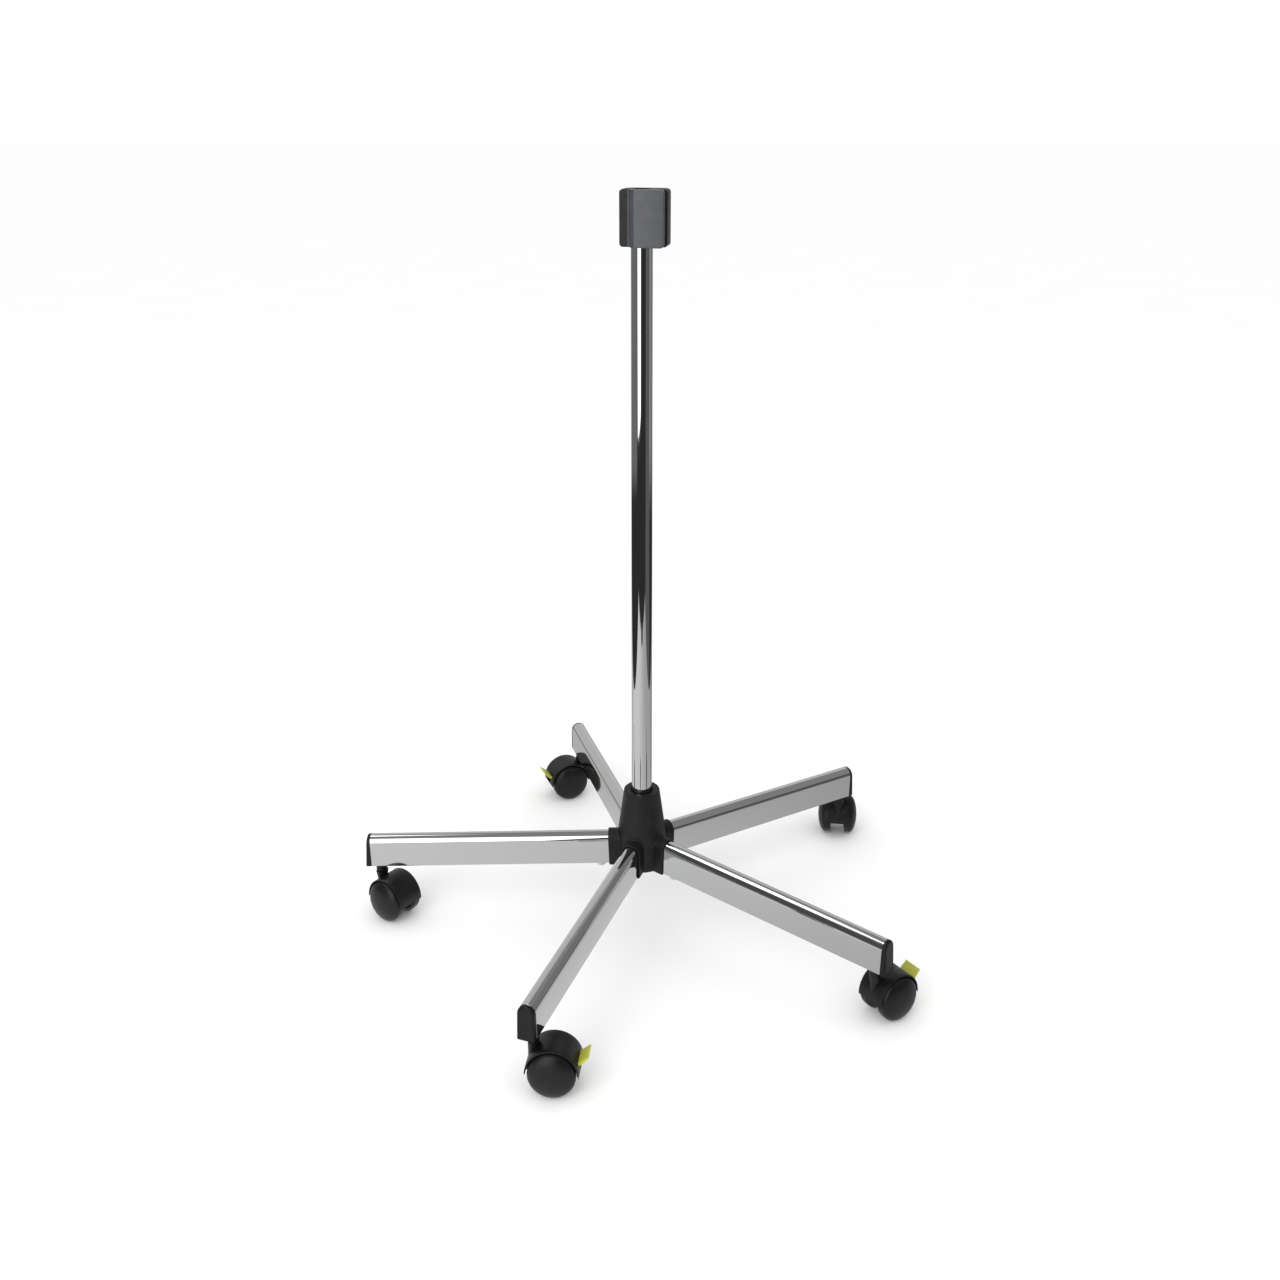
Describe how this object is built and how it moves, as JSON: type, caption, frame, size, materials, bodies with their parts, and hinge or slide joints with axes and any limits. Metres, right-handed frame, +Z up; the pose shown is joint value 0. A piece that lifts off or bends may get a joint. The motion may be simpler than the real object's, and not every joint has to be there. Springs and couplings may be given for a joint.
{
  "type": "iv drip stand",
  "caption": "Rolling stand with a chromed pole on a star base of tubular legs, twin-wheel casters with brake tabs, and a socketed clamp head.",
  "frame": {"origin": "on the pole's axis at floor level", "axes": "+Z up along the pole; +Y is the way that a person in front of the head's jaw looks, +X to that person's right"},
  "size_m": [0.6669, 0.6808, 0.9095],
  "materials": {
    "chrome": "polished chrome plate on steel tube",
    "zinc": "bright zinc plate",
    "steel": "plain turned steel",
    "brass": "turned brass",
    "hub_plastic": "fine-textured black glass-filled nylon",
    "cap_plastic": "fine-textured black nylon",
    "caster_plastic": "fine-textured black nylon",
    "wheel_plastic": "spark-textured black nylon",
    "head_plastic": "fine-textured black nylon",
    "plate_plastic": "satin blue-grey plastic",
    "brake_plastic": "translucent lime yellow, ribbed"
  },
  "bodies": {
    "frame": {"pole": "chrome", "hub": "hub_plastic", "pole_washer": "zinc", "pole_bolt": "zinc", "pole_plug": "steel", "leg_1": "chrome", "leg_cap_1": "cap_plastic", "leg_bolt_1": "zinc", "caster_stem_1": "steel", "leg_2": "chrome", "leg_cap_2": "cap_plastic", "leg_bolt_2": "zinc", "caster_stem_2": "steel", "leg_3": "chrome", "leg_cap_3": "cap_plastic", "leg_bolt_3": "zinc", "caster_stem_3": "steel", "leg_4": "chrome", "leg_cap_4": "cap_plastic", "leg_bolt_4": "zinc", "caster_stem_4": "steel", "leg_5": "chrome", "leg_cap_5": "cap_plastic", "leg_bolt_5": "zinc", "caster_stem_5": "steel", "head_body": "head_plastic", "head_jaw": "plate_plastic", "head_bush": "brass", "head_screw_upper": "steel", "head_screw_lower": "steel", "head_grub_screw": "steel"},
    "caster_1": {"caster_hood_1": "caster_plastic", "caster_axle_1": "steel"},
    "wheel_left_1": {"wheel_left_1": "wheel_plastic"},
    "wheel_right_1": {"wheel_right_1": "wheel_plastic"},
    "caster_2": {"caster_hood_2": "caster_plastic", "caster_axle_2": "steel", "brake_pin_2": "steel"},
    "wheel_left_2": {"wheel_left_2": "wheel_plastic"},
    "wheel_right_2": {"wheel_right_2": "wheel_plastic"},
    "brake_2": {"brake_lever_2": "brake_plastic"},
    "caster_3": {"caster_hood_3": "caster_plastic", "caster_axle_3": "steel", "brake_pin_3": "steel"},
    "wheel_left_3": {"wheel_left_3": "wheel_plastic"},
    "wheel_right_3": {"wheel_right_3": "wheel_plastic"},
    "brake_3": {"brake_lever_3": "brake_plastic"},
    "caster_4": {"caster_hood_4": "caster_plastic", "caster_axle_4": "steel"},
    "wheel_left_4": {"wheel_left_4": "wheel_plastic"},
    "wheel_right_4": {"wheel_right_4": "wheel_plastic"},
    "caster_5": {"caster_hood_5": "caster_plastic", "caster_axle_5": "steel", "brake_pin_5": "steel"},
    "wheel_left_5": {"wheel_left_5": "wheel_plastic"},
    "wheel_right_5": {"wheel_right_5": "wheel_plastic"},
    "brake_5": {"brake_lever_5": "brake_plastic"}
  },
  "joints": [
    {"name": "caster_1_swivel", "type": "hinge", "parent": "frame", "child": "caster_1", "pos_m": [-0.33158, 0.01216, 0.02584], "axis": [0, 0, 1], "continuous": true},
    {"name": "wheel_left_1_spin", "type": "hinge", "parent": "caster_1", "child": "wheel_left_1", "pos_m": [-0.31378, -0.00077, 0.02584], "axis": [0.5878, 0.809, 0], "continuous": true},
    {"name": "wheel_right_1_spin", "type": "hinge", "parent": "caster_1", "child": "wheel_right_1", "pos_m": [-0.31378, -0.00077, 0.02584], "axis": [0.5878, 0.809, 0], "continuous": true},
    {"name": "caster_2_swivel", "type": "hinge", "parent": "frame", "child": "caster_2", "pos_m": [-0.11403, -0.31159, 0.02584], "axis": [0, 0, 1], "continuous": true},
    {"name": "wheel_left_2_spin", "type": "hinge", "parent": "caster_2", "child": "wheel_left_2", "pos_m": [-0.09215, -0.31389, 0.02584], "axis": [0.1045, 0.9945, 0], "continuous": true},
    {"name": "wheel_right_2_spin", "type": "hinge", "parent": "caster_2", "child": "wheel_right_2", "pos_m": [-0.09215, -0.31389, 0.02584], "axis": [0.1045, 0.9945, 0], "continuous": true},
    {"name": "brake_2_press", "type": "hinge", "parent": "caster_2", "child": "brake_2", "pos_m": [-0.07723, -0.31546, 0.02984], "axis": [0.1045, 0.9945, 0], "range_deg": [0, 25]},
    {"name": "caster_3_swivel", "type": "hinge", "parent": "frame", "child": "caster_3", "pos_m": [0.2611, -0.20473, 0.02584], "axis": [0, 0, 1], "continuous": true},
    {"name": "wheel_left_3_spin", "type": "hinge", "parent": "caster_3", "child": "wheel_left_3", "pos_m": [0.27934, -0.19243, 0.02584], "axis": [-0.5592, 0.829, 0], "continuous": true},
    {"name": "wheel_right_3_spin", "type": "hinge", "parent": "caster_3", "child": "wheel_right_3", "pos_m": [0.27934, -0.19243, 0.02584], "axis": [-0.5592, 0.829, 0], "continuous": true},
    {"name": "brake_3_press", "type": "hinge", "parent": "caster_3", "child": "brake_3", "pos_m": [0.29178, -0.18404, 0.02984], "axis": [-0.5592, 0.829, 0], "range_deg": [0, 25]},
    {"name": "caster_4_swivel", "type": "hinge", "parent": "frame", "child": "caster_4", "pos_m": [0.2754, 0.18506, 0.02584], "axis": [0, 0, 1], "continuous": true},
    {"name": "wheel_left_4_spin", "type": "hinge", "parent": "caster_4", "child": "wheel_left_4", "pos_m": [0.27808, 0.20689, 0.02584], "axis": [-0.9925, 0.1219, 0], "continuous": true},
    {"name": "wheel_right_4_spin", "type": "hinge", "parent": "caster_4", "child": "wheel_right_4", "pos_m": [0.27808, 0.20689, 0.02584], "axis": [-0.9925, 0.1219, 0], "continuous": true},
    {"name": "caster_5_swivel", "type": "hinge", "parent": "frame", "child": "caster_5", "pos_m": [-0.0909, 0.3191, 0.02584], "axis": [0, 0, 1], "continuous": true},
    {"name": "wheel_left_5_spin", "type": "hinge", "parent": "caster_5", "child": "wheel_left_5", "pos_m": [-0.1113, 0.31086, 0.02584], "axis": [0.3746, -0.9272, 0], "continuous": true},
    {"name": "wheel_right_5_spin", "type": "hinge", "parent": "caster_5", "child": "wheel_right_5", "pos_m": [-0.1113, 0.31086, 0.02584], "axis": [0.3746, -0.9272, 0], "continuous": true},
    {"name": "brake_5_press", "type": "hinge", "parent": "caster_5", "child": "brake_5", "pos_m": [-0.12521, 0.30524, 0.02984], "axis": [0.3746, -0.9272, 0], "range_deg": [0, 25]}
  ]
}
